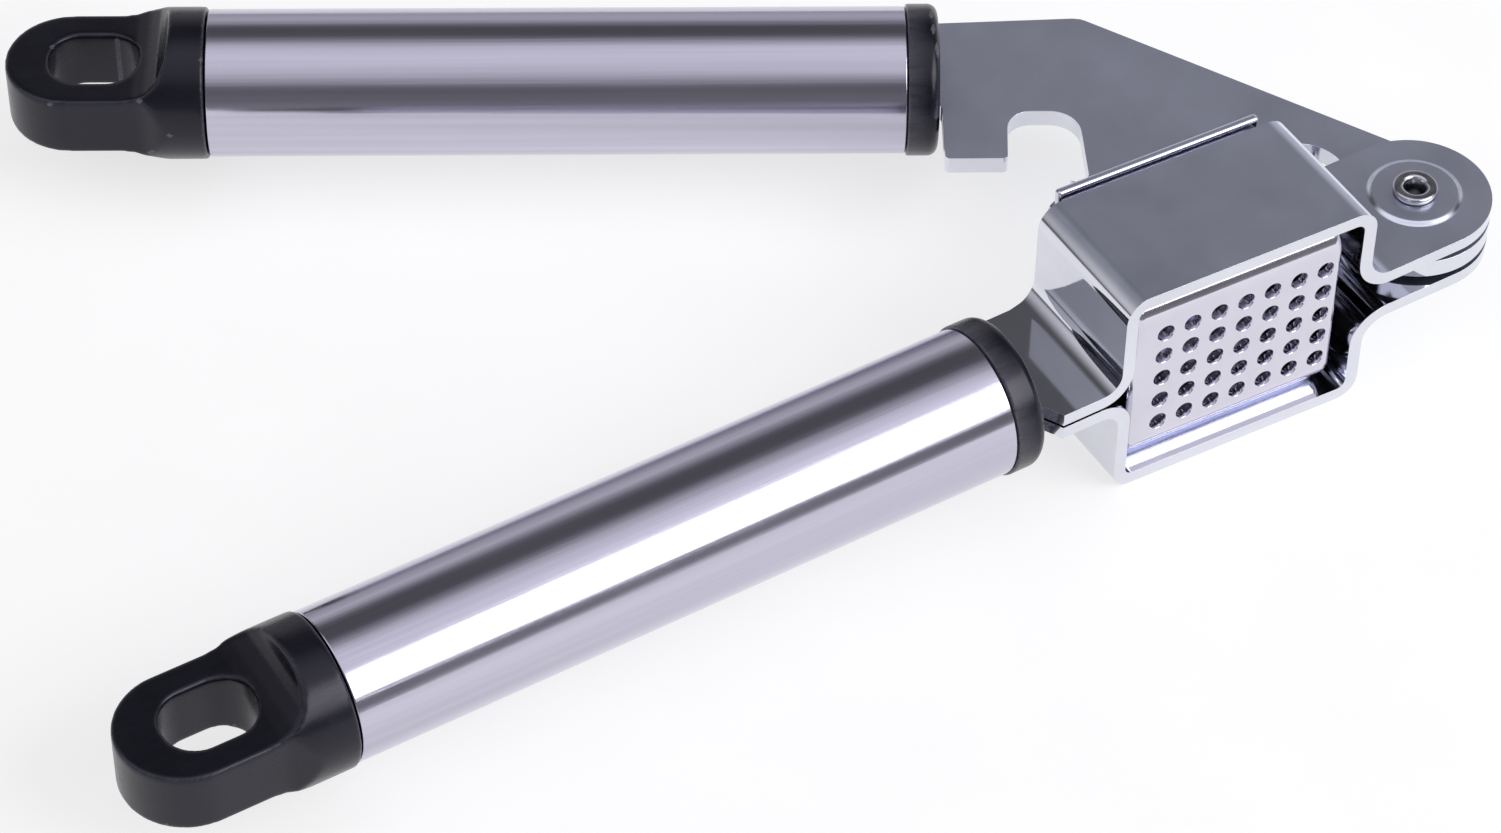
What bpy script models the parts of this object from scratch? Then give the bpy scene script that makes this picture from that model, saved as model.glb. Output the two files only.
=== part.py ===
"""Garlic press lying on its side, open, with its pivot axis upright.

The origin is in the middle of the flat face the press lies on, under the
basket. The frame handle points along -X. The press arm is swung open from it
about the pivot, towards +Y. Drawing distances are in millimetres: u runs from
the pivot towards the end of a handle, v across it towards the loading side,
z up the pivot from the middle plane of the press.
"""
import math

import bmesh
import bpy
from mathutils import Matrix, Vector

MM = 0.001

# Pose
PIVOT_X = 32.0           # the pivot axis stands this far from the origin
OPEN_DEG = 30.3          # angle between the two handles as placed
CLOSED_DEG = 2.4         # the same angle with the tab down on the frame tangs
SWING_RATIO = -0.25      # turn of the plunger on its pin per turn of the arm
HEAD_TURN_DEG = 2.6      # the box sits turned by this much to the frame handle

# Handles
TUBE_R = 9.5
TUBE_BORE_R = 8.5
MOULDED_R = 9.8          # outside of the collars and end caps
COLLAR_FACE_U = 58.8
TUBE_START_U = 63.0
TUBE_END_U = 152.5
CAP_TIP_U = 178.6
FRAME_REACH = 2.1        # the frame handle starts this much further out than the arm handle
FRAME_AXIS_V = 0.76
ARM_AXIS_V = 25.6
SPIGOT_R = 8.2
COLLAR_SPIGOT_END_U = 77.0
CAP_SPIGOT_START_U = 141.0
END_GAP = 0.15
TANG_END_U = 75.5
TANG_HALF_WIDTH = 6.4
TANG_PIN_U = 69.5
TANG_PIN_R = 1.5
FIT = 0.3

# End cap
TONGUE_HALF_WIDTH = 8.4
TONGUE_HALF_THICK = 4.35
RAMP_TOP_U = 157.4
RAMP_FOOT_U = 161.2
FLARE_LENGTH = 3.6
SLOT_CENTRE_U = 167.2
SLOT_LENGTH = 11.6
SLOT_WIDTH = 9.0
SLOT_CORNER_R = 4.2

# Side strips of the frame
STRIP_THICK = 1.8
BOX_HALF_HEIGHT = 16.0
TANG_MID_Z = 1.1
EAR_MID_Z = 2.95
LEFT_WALL_U = 49.0
RIGHT_WALL_U = 14.8
LOBE_R = 9.75
BOSS_R = 5.7
BOSS_RISE = 0.4
SHIM_R = 4.9
SHIM_THICK = 0.6

# Basket
BASKET_NEAR_S = 17.0
BASKET_FAR_S = 47.3
BASKET_FACE_W = -9.46
BASKET_REAR_W = 11.5
BASKET_NEAR_WALL_W = 6.6
BASKET_HALF_HEIGHT = 13.9
BASKET_SHEET = 1.2
BASKET_LONG_BEND_R = 4.65
BASKET_END_BEND_R = 1.5
RIM_NEAR_S = 17.6
RIM_FAR_S = 46.6
HOLE_PITCH = 3.84
HOLE_R = 1.18
HOLE_COLUMNS = 7
HOLE_ROWS = 5
HOLE_CENTRE_S = 31.3

# Press arm and plunger
ARM_HALF_THICK = 1.25
PIVOT_R = 2.2
PLUNGER_PIN_S = 32.4
PLUNGER_PIN_W = -0.5
PLUNGER_HALF_LENGTH = 12.6
PLUNGER_HALF_HEIGHT = 12.0
PLUNGER_DEPTH = 7.16
PLUNGER_PLATE = 2.0
PLUNGER_CHEEK = 1.5
PLUNGER_PIN_R = 1.6
BLADE_LOBE_R = 4.6

ROUND_STEPS = 64

FINISHES = {
    "polished_steel": ((0.62, 0.63, 0.66), 1.0, 0.12),
    "brushed_steel": ((0.66, 0.66, 0.68), 1.0, 0.28),
    "pressed_steel": ((0.60, 0.61, 0.64), 1.0, 0.18),
    "rivet_steel": ((0.70, 0.70, 0.72), 1.0, 0.15),
    "black_plastic": ((0.014, 0.014, 0.018), 0.0, 0.38),
}


def clear_scene():
    for obj in list(bpy.data.objects):
        bpy.data.objects.remove(obj, do_unlink=True)


def finish_material(node, finish):
    colour, metallic, roughness = FINISHES[finish]
    material = bpy.data.materials.new(node + "_" + finish)
    material.use_nodes = True
    shader = material.node_tree.nodes["Principled BSDF"]
    shader.inputs["Base Color"].default_value = (*colour, 1.0)
    shader.inputs["Metallic"].default_value = metallic
    shader.inputs["Roughness"].default_value = roughness
    return material


# ---------------------------------------------------------------- outlines

def arc(centre, radius, start_deg, end_deg, steps):
    points = []
    for i in range(steps + 1):
        angle = math.radians(start_deg + (end_deg - start_deg) * i / steps)
        points.append((centre[0] + radius * math.cos(angle), centre[1] + radius * math.sin(angle)))
    return points


def rounded(corners, steps=6):
    """Closed outline through the (x, y, radius) corners, each rounded by its radius."""
    outline = []
    count = len(corners)
    for i, (x, y, radius) in enumerate(corners):
        here = Vector((x, y))
        if radius <= 0.0:
            outline.append((x, y))
            continue
        back = (Vector(corners[i - 1][:2]) - here).normalized()
        ahead = (Vector(corners[(i + 1) % count][:2]) - here).normalized()
        half = 0.5 * back.angle(ahead)
        reach = radius / math.tan(half)
        centre = here + (back + ahead).normalized() * (radius / math.sin(half))
        first = here + back * reach - centre
        last = here + ahead * reach - centre
        turn = first.angle_signed(last)
        for k in range(steps + 1):
            outline.append(tuple(centre + Matrix.Rotation(-turn * k / steps, 2) @ first))
    return outline


def bent_band(path, thickness, steps=8):
    """Closed outline of a sheet of even thickness that follows (x, y, radius) corners."""
    centre_line = []
    last_index = len(path) - 1
    for i, (x, y, radius) in enumerate(path):
        here = Vector((x, y))
        if i in (0, last_index):
            centre_line.append(here)
            continue
        back = (Vector(path[i - 1][:2]) - here).normalized()
        ahead = (Vector(path[i + 1][:2]) - here).normalized()
        half = 0.5 * back.angle(ahead)
        reach = radius / math.tan(half)
        centre = here + (back + ahead).normalized() * (radius / math.sin(half))
        first = here + back * reach - centre
        last = here + ahead * reach - centre
        turn = first.angle_signed(last)
        for k in range(steps + 1):
            centre_line.append(centre + Matrix.Rotation(-turn * k / steps, 2) @ first)
    one_side = []
    other_side = []
    for i, point in enumerate(centre_line):
        before = centre_line[max(i - 1, 0)]
        after = centre_line[min(i + 1, len(centre_line) - 1)]
        along = (after - before).normalized()
        across = Vector((-along.y, along.x)) * (0.5 * thickness)
        one_side.append(tuple(point + across))
        other_side.append(tuple(point - across))
    return one_side + other_side[::-1]


# ------------------------------------------------------------------ solids

def solid_from(bm):
    bmesh.ops.recalc_face_normals(bm, faces=bm.faces[:])
    mesh = bpy.data.meshes.new("solid")
    bm.to_mesh(mesh)
    bm.free()
    obj = bpy.data.objects.new("solid", mesh)
    bpy.context.scene.collection.objects.link(obj)
    return obj


def prism(outline, low, high, axes="uvz"):
    """Straight solid over a closed outline; the last letter of axes is its height."""
    place = {
        "uvz": lambda a, b, c: (-a, b, c),
        "uzv": lambda a, b, c: (-a, c, b),
        "vzu": lambda a, b, c: (-c, a, b),
    }[axes]
    bm = bmesh.new()
    bottom = [bm.verts.new(place(a, b, low)) for a, b in outline]
    top = [bm.verts.new(place(a, b, high)) for a, b in outline]
    bm.faces.new(bottom)
    bm.faces.new(top[::-1])
    count = len(outline)
    for i in range(count):
        j = (i + 1) % count
        bm.faces.new((bottom[i], top[i], top[j], bottom[j]))
    return solid_from(bm)


def box(u_range, v_range, z_range):
    outline = [(u, v) for u, v in (
        (u_range[0], v_range[0]), (u_range[1], v_range[0]),
        (u_range[1], v_range[1]), (u_range[0], v_range[1]))]
    return prism(outline, z_range[0], z_range[1])


def turned(profile, axis_v=None, centre=None, steps=ROUND_STEPS):
    """Solid of revolution of a closed (distance along, radius) profile.

    With axis_v the axis runs along a handle at that v; with centre it stands
    upright through that (u, v).
    """
    bm = bmesh.new()
    rings = []
    for i in range(steps):
        angle = 2.0 * math.pi * i / steps
        c, s = math.cos(angle), math.sin(angle)
        ring = []
        for along, radius in profile:
            if centre is None:
                ring.append(bm.verts.new((-along, axis_v + radius * c, radius * s)))
            else:
                ring.append(bm.verts.new((-centre[0] + radius * c, centre[1] + radius * s, along)))
        rings.append(ring)
    count = len(profile)
    for i in range(steps):
        near, far = rings[i], rings[(i + 1) % steps]
        for k in range(count):
            m = (k + 1) % count
            if profile[k][1] > 0.0 or profile[m][1] > 0.0:
                bm.faces.new((near[k], near[m], far[m], far[k]))
    bmesh.ops.remove_doubles(bm, verts=bm.verts[:], dist=1e-5)
    return solid_from(bm)


def rod(radius, z_range, centre, steps=40):
    start = 2.7
    return prism(arc(centre, radius, start, start + 360.0 * (steps - 1) / steps, steps - 1),
                 z_range[0], z_range[1])


def combine(target, tool, operation):
    """Boolean of two solids; the tool is used up."""
    modifier = target.modifiers.new("combine", "BOOLEAN")
    modifier.operation = operation
    modifier.solver = "EXACT"
    modifier.object = tool
    graph = bpy.context.evaluated_depsgraph_get()
    result = bpy.data.meshes.new_from_object(target.evaluated_get(graph))
    target.modifiers.clear()
    target.data = result
    bpy.data.objects.remove(tool, do_unlink=True)
    return target


def cut(target, tool):
    return combine(target, tool, "DIFFERENCE")


def add(target, tool):
    return combine(target, tool, "UNION")


def keep(target, tool):
    return combine(target, tool, "INTERSECT")


def spin(obj, degrees, centre=(0.0, 0.0)):
    """Turn a solid about an upright line through (u, v); positive opens the press."""
    pin = Vector((-centre[0], centre[1], 0.0))
    turn = Matrix.Rotation(-math.radians(degrees), 4, "Z")
    obj.data.transform(Matrix.Translation(pin) @ turn @ Matrix.Translation(-pin))
    return obj


def slide(obj, reach):
    """Move a solid outwards along the frame handle."""
    obj.data.transform(Matrix.Translation((-reach, 0.0, 0.0)))
    return obj


def publish(obj, node, finish, origin=(0.0, 0.0), sharp_deg=32.0):
    """Name a solid, give it its finish and put its origin on the upright line through origin."""
    mesh = obj.data
    home = Vector((origin[0], origin[1], 0.0))
    mesh.transform(Matrix.Translation(-home))
    mesh.transform(Matrix.Scale(MM, 4))
    bm = bmesh.new()
    bm.from_mesh(mesh)
    bmesh.ops.remove_doubles(bm, verts=bm.verts[:], dist=1e-6)
    bm.to_mesh(mesh)
    bm.free()
    mesh.materials.clear()
    mesh.materials.append(finish_material(node, finish))
    for polygon in mesh.polygons:
        polygon.material_index = 0
    mesh.shade_smooth()
    mesh.set_sharp_from_angle(angle=math.radians(sharp_deg))
    mesh.name = node
    obj.name = node
    obj.location = ((home.x + PIVOT_X) * MM, home.y * MM, BOX_HALF_HEIGHT * MM)
    return obj


# ------------------------------------------------------------------- frame

def head_line(u, w):
    """v of the point at distance w across the turned box, at u along the handle."""
    turn = math.radians(HEAD_TURN_DEG)
    return (w + u * math.sin(turn)) / math.cos(turn)


def strip_outline():
    tang_end = TANG_END_U + FRAME_REACH
    neck_front = FRAME_AXIS_V - TANG_HALF_WIDTH
    neck_rear = FRAME_AXIS_V + TANG_HALF_WIDTH
    front_w = -10.25
    rear_w = 9.15
    outline = [
        (tang_end, neck_front),
        (59.9, neck_front),
        (59.4, neck_front - 0.4),
        (58.2, -8.3),
        (50.0, -8.3),
        (47.0, head_line(47.0, front_w)),
        (17.0, head_line(17.0, front_w)),
        (12.0, -LOBE_R),
    ]
    outline += arc((0.0, 0.0), LOBE_R, 270.0, 90.0, 28)
    outline += [
        (9.0, LOBE_R),
        (17.0, head_line(17.0, rear_w)),
        (47.0, head_line(47.0, rear_w)),
        (50.0, 11.05),
        (51.8, 10.6),
        (54.0, 10.15),
        (58.2, 10.1),
        (59.4, neck_rear + 0.4),
        (59.9, neck_rear),
        (tang_end, neck_rear),
    ]
    return outline


def side_strip(side):
    """One bent steel strip: tang, end wall, side plate of the box, joggle and pivot ear."""
    top_mid = BOX_HALF_HEIGHT - 0.5 * STRIP_THICK
    path = [
        (TANG_END_U + FRAME_REACH, TANG_MID_Z, 0.0),
        (LEFT_WALL_U, TANG_MID_Z, 3.5),
        (LEFT_WALL_U, top_mid, 2.1),
        (RIGHT_WALL_U, top_mid, 2.1),
        (RIGHT_WALL_U, EAR_MID_Z, 4.2),
        (-12.0, EAR_MID_Z, 0.0),
    ]
    strip = prism(bent_band(path, STRIP_THICK), -14.0, 14.0, "uzv")
    strip = keep(strip, prism(strip_outline(), -1.0, 17.0))
    ear_top = EAR_MID_Z + 0.5 * STRIP_THICK
    ear_bottom = EAR_MID_Z - 0.5 * STRIP_THICK
    boss = turned([(ear_top - BOSS_RISE, 0.0), (ear_top - BOSS_RISE, BOSS_R + 1.1),
                   (ear_top + BOSS_RISE, BOSS_R - 0.5), (ear_top + BOSS_RISE, 0.0)],
                  centre=(0.0, 0.0), steps=36)
    strip = add(strip, boss)
    pocket = turned([(ear_bottom - 1.0, 0.0), (ear_bottom - 1.0, SHIM_R + FIT),
                     (ear_bottom + BOSS_RISE, SHIM_R + FIT), (ear_bottom + BOSS_RISE, 0.0)],
                    centre=(0.0, 0.0), steps=36)
    strip = cut(strip, pocket)
    strip = cut(strip, rod(PIVOT_R + FIT, (0.5, 6.0), (0.0, 0.0)))
    strip = cut(strip, rod(TANG_PIN_R + FIT, (-1.0, 4.0), (TANG_PIN_U + FRAME_REACH, FRAME_AXIS_V), 16))
    if side < 0:
        strip.data.transform(Matrix.Scale(-1.0, 4, (0.0, 0.0, 1.0)))
        strip.data.flip_normals()
    return strip


def bevelled_cup(near, far, face, rear, half_height, long_radius, end_radius):
    """Block rounded along its long front edges and around its two ends, square at the rear."""
    block = box((near, far), (face, rear), (-half_height, half_height))
    bm = bmesh.new()
    bm.from_mesh(block.data)
    long_edges = []
    for edge in bm.edges:
        a, b = edge.verts[0].co, edge.verts[1].co
        if abs(a.y - face) < 1e-4 and abs(b.y - face) < 1e-4 and abs(a.x - b.x) > 1.0:
            long_edges.append(edge)
    bmesh.ops.bevel(bm, geom=long_edges, offset=long_radius, segments=6, profile=0.5, affect="EDGES")
    end_edges = []
    for edge in bm.edges:
        a, b = edge.verts[0].co, edge.verts[1].co
        at_end = abs(a.x - b.x) < 1e-4 and min(abs(a.x + near), abs(a.x + far)) < 1e-4
        at_rear = abs(a.y - rear) < 1e-4 and abs(b.y - rear) < 1e-4
        if at_end and not at_rear:
            end_edges.append(edge)
    bmesh.ops.bevel(bm, geom=end_edges, offset=end_radius, segments=3, profile=0.5, affect="EDGES")
    bmesh.ops.recalc_face_normals(bm, faces=bm.faces[:])
    bm.to_mesh(block.data)
    bm.free()
    return block


def hole_punches():
    bm = bmesh.new()
    steps = 14
    for column in range(HOLE_COLUMNS):
        for row in range(HOLE_ROWS):
            s = HOLE_CENTRE_S + (column - 0.5 * (HOLE_COLUMNS - 1)) * HOLE_PITCH
            z = (row - 0.5 * (HOLE_ROWS - 1)) * HOLE_PITCH
            ends = []
            for w in (BASKET_FACE_W - 1.0, BASKET_FACE_W + BASKET_SHEET + 1.0):
                ring = []
                for k in range(steps):
                    angle = 2.0 * math.pi * k / steps
                    ring.append(bm.verts.new((-s + HOLE_R * math.cos(angle), w, z + HOLE_R * math.sin(angle))))
                ends.append(ring)
            bm.faces.new(ends[0])
            bm.faces.new(ends[1][::-1])
            for k in range(steps):
                m = (k + 1) % steps
                bm.faces.new((ends[0][k], ends[1][k], ends[1][m], ends[0][m]))
    return solid_from(bm)


def basket():
    """Drawn sheet basket: perforated face, rounded walls, open rear with a rim at top and bottom."""
    cup = bevelled_cup(BASKET_NEAR_S, BASKET_FAR_S, BASKET_FACE_W, BASKET_REAR_W,
                       BASKET_HALF_HEIGHT, BASKET_LONG_BEND_R, BASKET_END_BEND_R)
    for side in (-1, 1):
        z_range = sorted((side * (BASKET_HALF_HEIGHT - 0.6), side * BOX_HALF_HEIGHT))
        outline = rounded([(RIM_NEAR_S, z_range[0], 0.0), (RIM_FAR_S, z_range[0], 0.0),
                           (RIM_FAR_S, z_range[1], 0.0), (RIM_NEAR_S, z_range[1], 0.0)])
        cup = add(cup, prism(outline, BASKET_REAR_W - BASKET_SHEET, BASKET_REAR_W, "uzv"))
    sheet = BASKET_SHEET
    hollow = bevelled_cup(BASKET_NEAR_S + sheet, BASKET_FAR_S - sheet, BASKET_FACE_W + sheet,
                          BASKET_REAR_W + 5.0, BASKET_HALF_HEIGHT - sheet,
                          BASKET_LONG_BEND_R - sheet, BASKET_END_BEND_R - 0.9)
    cup = cut(cup, hollow)
    low_wall = box((BASKET_NEAR_S - 1.0, BASKET_NEAR_S + sheet + 0.5), (BASKET_NEAR_WALL_W, BASKET_REAR_W + 1.0),
                   (-BASKET_HALF_HEIGHT + 1.3, BASKET_HALF_HEIGHT - 1.3))
    cup = cut(cup, low_wall)
    cup = cut(cup, hole_punches())
    return spin(cup, HEAD_TURN_DEG)


def pivot_rivet():
    """Semi-tubular pivot rivet: hollow shank with a rolled head over each ear boss."""
    seat = EAR_MID_Z + 0.5 * STRIP_THICK + BOSS_RISE + 0.15
    top = seat + 0.9
    head_r = 2.9
    bore_r = 1.25
    profile = [
        (-top + 0.35, bore_r), (-top, bore_r + 0.45), (-top, head_r - 0.7), (-top + 0.25, head_r - 0.2),
        (-seat - 0.2, head_r), (-seat, head_r - 0.1), (-seat, PIVOT_R), (seat, PIVOT_R),
        (seat, head_r - 0.1), (seat + 0.2, head_r), (top - 0.25, head_r - 0.2), (top, head_r - 0.7),
        (top, bore_r + 0.45), (top - 0.35, bore_r),
    ]
    return turned(profile, centre=(0.0, 0.0), steps=32)


def pivot_shim(side):
    low = EAR_MID_Z - 0.5 * STRIP_THICK + BOSS_RISE - FIT - SHIM_THICK
    high = low + SHIM_THICK
    profile = [(side * low, PIVOT_R + FIT), (side * low, SHIM_R), (side * high, SHIM_R), (side * high, PIVOT_R + FIT)]
    return turned(profile, centre=(0.0, 0.0), steps=32)


# ----------------------------------------------------------------- handles

def handle_tube(axis_v):
    profile = [
        (TUBE_START_U, TUBE_BORE_R), (TUBE_START_U, TUBE_R - 0.15), (TUBE_START_U + 0.15, TUBE_R),
        (TUBE_END_U - 0.15, TUBE_R), (TUBE_END_U, TUBE_R - 0.15), (TUBE_END_U, TUBE_BORE_R),
    ]
    return turned(profile, axis_v=axis_v)


def collar(axis_v, slot_half_thick):
    """Plastic collar: rounded ring at the mouth of the tube and a spigot that carries the tang."""
    rim = []
    for along, radius in arc((COLLAR_FACE_U + 1.3, MOULDED_R - 1.3), 1.3, 180.0, 90.0, 5):
        rim.append((along, radius))
    profile = [(COLLAR_FACE_U, 0.0)] + rim + [
        (TUBE_START_U - END_GAP, MOULDED_R), (TUBE_START_U - END_GAP, SPIGOT_R),
        (COLLAR_SPIGOT_END_U - 0.8, SPIGOT_R), (COLLAR_SPIGOT_END_U, SPIGOT_R - 0.8), (COLLAR_SPIGOT_END_U, 0.0),
    ]
    body = turned(profile, axis_v=axis_v)
    half_width = TANG_HALF_WIDTH + FIT
    body = cut(body, box((COLLAR_FACE_U - 1.0, COLLAR_SPIGOT_END_U + 1.0),
                         (axis_v - half_width, axis_v + half_width), (-slot_half_thick, slot_half_thick)))
    return cut(body, rod(TANG_PIN_R + FIT, (-12.0, 12.0), (TANG_PIN_U, axis_v), 16))


def tang_pin(axis_v):
    profile = [(-7.4, 0.0), (-7.4, TANG_PIN_R - 0.3), (-7.1, TANG_PIN_R),
               (7.1, TANG_PIN_R), (7.4, TANG_PIN_R - 0.3), (7.4, 0.0)]
    return turned(profile, centre=(TANG_PIN_U, axis_v), steps=16)


def cap_outline(axis_v):
    """Plan of the end cap: ring, flare into the tongue, rounded tip."""
    upper = [(140.0, 10.5), (RAMP_TOP_U, 10.5), (RAMP_TOP_U, MOULDED_R)]
    for i in range(1, 8):
        share = i / 7.0
        blend = 0.5 - 0.5 * math.cos(math.pi * share)
        upper.append((RAMP_TOP_U + FLARE_LENGTH * share, MOULDED_R + (TONGUE_HALF_WIDTH - MOULDED_R) * blend))
    tip_centre = CAP_TIP_U - TONGUE_HALF_WIDTH
    tip = arc((tip_centre, 0.0), TONGUE_HALF_WIDTH, 90.0, -90.0, 28)
    lower = [(u, -v) for u, v in upper[::-1]]
    return [(u, v + axis_v) for u, v in upper + tip + lower]


def end_cap(axis_v):
    """Plastic end cap: spigot in the tube, ring, ramps down to a flat tongue with a hanging slot."""
    start = TUBE_END_U + END_GAP
    profile = [
        (CAP_SPIGOT_START_U, 6.2), (CAP_SPIGOT_START_U, SPIGOT_R - 0.8), (CAP_SPIGOT_START_U + 0.8, SPIGOT_R),
        (start, SPIGOT_R), (start, MOULDED_R - 0.2), (start + 0.2, MOULDED_R),
        (CAP_TIP_U + 2.0, MOULDED_R), (CAP_TIP_U + 2.0, 0.0),
        (154.5, 0.0), (154.5, 6.2),
    ]
    body = turned(profile, axis_v=axis_v)
    body = keep(body, prism(cap_outline(axis_v), -11.0, 11.0))
    for side in (-1, 1):
        slope = (RAMP_FOOT_U - RAMP_TOP_U) / (MOULDED_R - TONGUE_HALF_THICK)
        ramp = [(RAMP_FOOT_U, side * TONGUE_HALF_THICK), (CAP_TIP_U + 3.0, side * TONGUE_HALF_THICK),
                (CAP_TIP_U + 3.0, side * 13.0), (RAMP_TOP_U - slope * (13.0 - MOULDED_R), side * 13.0)]
        body = cut(body, prism(ramp, axis_v - 13.0, axis_v + 13.0, "uzv"))
    near, far = SLOT_CENTRE_U - 0.5 * SLOT_LENGTH, SLOT_CENTRE_U + 0.5 * SLOT_LENGTH
    front, rear = axis_v - 0.5 * SLOT_WIDTH, axis_v + 0.5 * SLOT_WIDTH
    slot = rounded([(near, front, SLOT_CORNER_R), (far, front, SLOT_CORNER_R),
                    (far, rear, SLOT_CORNER_R), (near, rear, SLOT_CORNER_R)])
    return cut(body, prism(slot, -11.0, 11.0))


# --------------------------------------------------------- arm and plunger

def pin_on_frame(swing_deg):
    """(u, v) of the plunger pin on the frame with the arm swung by swing_deg from closed."""
    turn = math.radians(HEAD_TURN_DEG + swing_deg)
    c, s = math.cos(turn), math.sin(turn)
    return (PLUNGER_PIN_S * c - PLUNGER_PIN_W * s, PLUNGER_PIN_S * s + PLUNGER_PIN_W * c)


def arm_outline():
    pin_u, pin_v = pin_on_frame(-CLOSED_DEG)
    neck = TANG_HALF_WIDTH
    slope = math.degrees(math.atan2(35.86 - 12.1, 39.9 - 1.04))
    outline = [
        (TANG_END_U, ARM_AXIS_V + neck), (58.5, ARM_AXIS_V + neck), (58.4, ARM_AXIS_V + neck + 0.5),
    ]
    outline += [(58.4, 35.05), (40.6, 35.9), (39.6, 35.75), (38.9, 35.4)]
    outline += arc((0.0, 0.0), LOBE_R, 90.0 + slope, 398.5, 40)
    outline += arc((13.5, 6.05), 5.87, 179.0, 0.0, 18)
    outline += arc((pin_u, pin_v), BLADE_LOBE_R, 226.0, 322.0, 12)
    outline += rounded([
        (40.2, 3.4, 1.5), (41.0, 18.2, 4.0), (50.1, 18.2, 3.2), (50.45, 9.46, 0.6), (58.4, 9.46, 0.6),
        (58.4, 17.5, 0.0)])
    outline += [
        (58.4, ARM_AXIS_V - neck - 0.5), (58.5, ARM_AXIS_V - neck), (TANG_END_U, ARM_AXIS_V - neck),
    ]
    return outline


def arm_plate():
    """Flat arm: tang, tab and notch that clear the box, blade for the plunger, pivot lobe."""
    plate = prism(arm_outline(), -ARM_HALF_THICK, ARM_HALF_THICK)
    plate = cut(plate, rod(PIVOT_R + FIT, (-3.0, 3.0), (0.0, 0.0)))
    plate = cut(plate, rod(PLUNGER_PIN_R + FIT, (-3.0, 3.0), pin_on_frame(-CLOSED_DEG), 32))
    return cut(plate, rod(TANG_PIN_R + FIT, (-3.0, 3.0), (TANG_PIN_U, ARM_AXIS_V), 16))


def plunger():
    """Plunger, drawn about its pin: a plate with rounded long edges, two cheeks beside the
    arm's blade and a short guide wall at each long edge."""
    face = -PLUNGER_DEPTH
    back = face + PLUNGER_PLATE
    half_height = PLUNGER_HALF_HEIGHT
    section = rounded([(face, -half_height, 1.9), (face, half_height, 1.9),
                       (back, half_height, 0.0), (back, -half_height, 0.0)])
    body = prism(section, -PLUNGER_HALF_LENGTH, PLUNGER_HALF_LENGTH, "vzu")
    inner_z = ARM_HALF_THICK + 0.4
    for side in (-1, 1):
        cheek = [(-9.0, back - 0.5), (9.0, back - 0.5), (9.0, back + 0.6)]
        cheek += arc((0.0, 0.0), 3.6, 25.0, 155.0, 12)
        cheek += [(-9.0, back + 0.6)]
        z_range = sorted((side * inner_z, side * (inner_z + PLUNGER_CHEEK)))
        body = add(body, prism(cheek, z_range[0], z_range[1]))
        wall = [(-6.0, back - 0.5), (6.0, back - 0.5), (4.0, back + 2.6), (-4.0, back + 2.6)]
        z_range = sorted((side * half_height, side * (half_height - PLUNGER_CHEEK)))
        body = add(body, prism(wall, z_range[0], z_range[1]))
    return cut(body, rod(PLUNGER_PIN_R + FIT, (-5.0, 5.0), (0.0, 0.0), 24))


def plunger_pin():
    seat = ARM_HALF_THICK + 0.4 + PLUNGER_CHEEK + 0.15
    profile = [
        (-seat - 0.9, 0.0), (-seat - 0.9, 1.7), (-seat - 0.45, 2.55), (-seat, 2.7), (-seat, PLUNGER_PIN_R),
        (seat, PLUNGER_PIN_R), (seat, 2.7), (seat + 0.45, 2.55), (seat + 0.9, 1.7), (seat + 0.9, 0.0),
    ]
    return turned(profile, centre=(0.0, 0.0), steps=24)


# ---------------------------------------------------------------- assembly

def build_frame():
    publish(side_strip(1), "side_strip_upper", "polished_steel")
    publish(side_strip(-1), "side_strip_lower", "polished_steel")
    publish(basket(), "garlic_basket", "pressed_steel")
    publish(pivot_rivet(), "pivot_rivet", "rivet_steel")
    publish(pivot_shim(1), "pivot_shim_upper", "rivet_steel")
    publish(pivot_shim(-1), "pivot_shim_lower", "rivet_steel")
    publish(slide(handle_tube(FRAME_AXIS_V), FRAME_REACH), "frame_handle_tube", "brushed_steel")
    frame_collar = collar(FRAME_AXIS_V, TANG_MID_Z + 0.5 * STRIP_THICK + FIT)
    publish(slide(frame_collar, FRAME_REACH), "frame_collar", "black_plastic")
    publish(slide(tang_pin(FRAME_AXIS_V), FRAME_REACH), "frame_tang_pin", "rivet_steel")
    publish(slide(end_cap(FRAME_AXIS_V), FRAME_REACH), "frame_end_cap", "black_plastic")


def build_arm():
    publish(spin(arm_plate(), OPEN_DEG), "press_arm_plate", "polished_steel")
    publish(spin(handle_tube(ARM_AXIS_V), OPEN_DEG), "arm_handle_tube", "brushed_steel")
    publish(spin(collar(ARM_AXIS_V, ARM_HALF_THICK + FIT), OPEN_DEG), "arm_collar", "black_plastic")
    publish(spin(tang_pin(ARM_AXIS_V), OPEN_DEG), "arm_tang_pin", "rivet_steel")
    publish(spin(end_cap(ARM_AXIS_V), OPEN_DEG), "arm_end_cap", "black_plastic")


def build_plunger():
    swing = OPEN_DEG - CLOSED_DEG
    pin_u, pin_v = pin_on_frame(swing)
    lean = HEAD_TURN_DEG + (1.0 + SWING_RATIO) * swing
    for solid, node, finish in ((plunger(), "plunger", "pressed_steel"),
                                (plunger_pin(), "plunger_pin", "rivet_steel")):
        spin(solid, lean)
        solid.data.transform(Matrix.Translation((-pin_u, pin_v, 0.0)))
        publish(solid, node, finish, origin=(-pin_u, pin_v))


def build():
    clear_scene()
    build_frame()
    build_arm()
    build_plunger()


build()
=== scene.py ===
import math

import bmesh
import bpy
from mathutils import Matrix, Vector


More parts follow.
